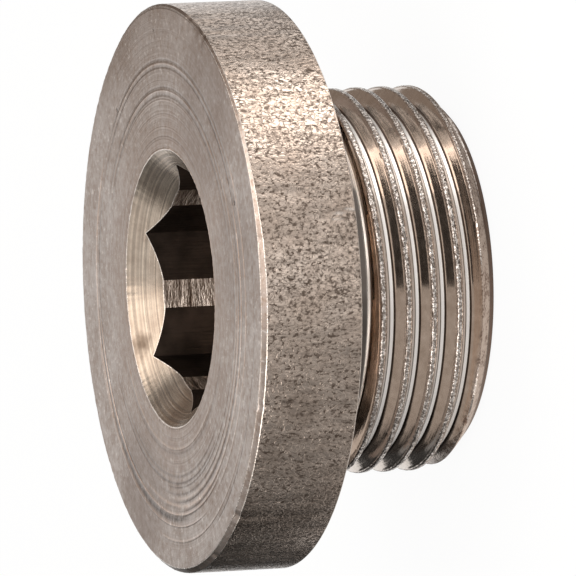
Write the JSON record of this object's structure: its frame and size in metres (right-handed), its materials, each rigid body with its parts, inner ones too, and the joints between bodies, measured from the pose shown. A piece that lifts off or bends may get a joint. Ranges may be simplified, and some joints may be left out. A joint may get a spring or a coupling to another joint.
{
  "type": "oil drain plug",
  "caption": "Steel screw plug with a wide flat flange, a hexagon socket in its face and a short fine-pitch thread, which closes an oil pan's drain hole.",
  "frame": {"origin": "centre of the sealing face, the underside of the flange, on the plug's axis", "axes": "+Z along the plug's axis towards the face with the socket; the shank points to -Z; two corners of the hexagon lie on the X axis"},
  "size_m": [0.032, 0.032, 0.0158],
  "materials": {
    "turned_steel": "bare turned steel: face-turned front, as-drawn bar skin on the flange's side, bright cut thread"
  },
  "bodies": {
    "root": {"drain_plug": "turned_steel"}
  },
  "joints": []
}
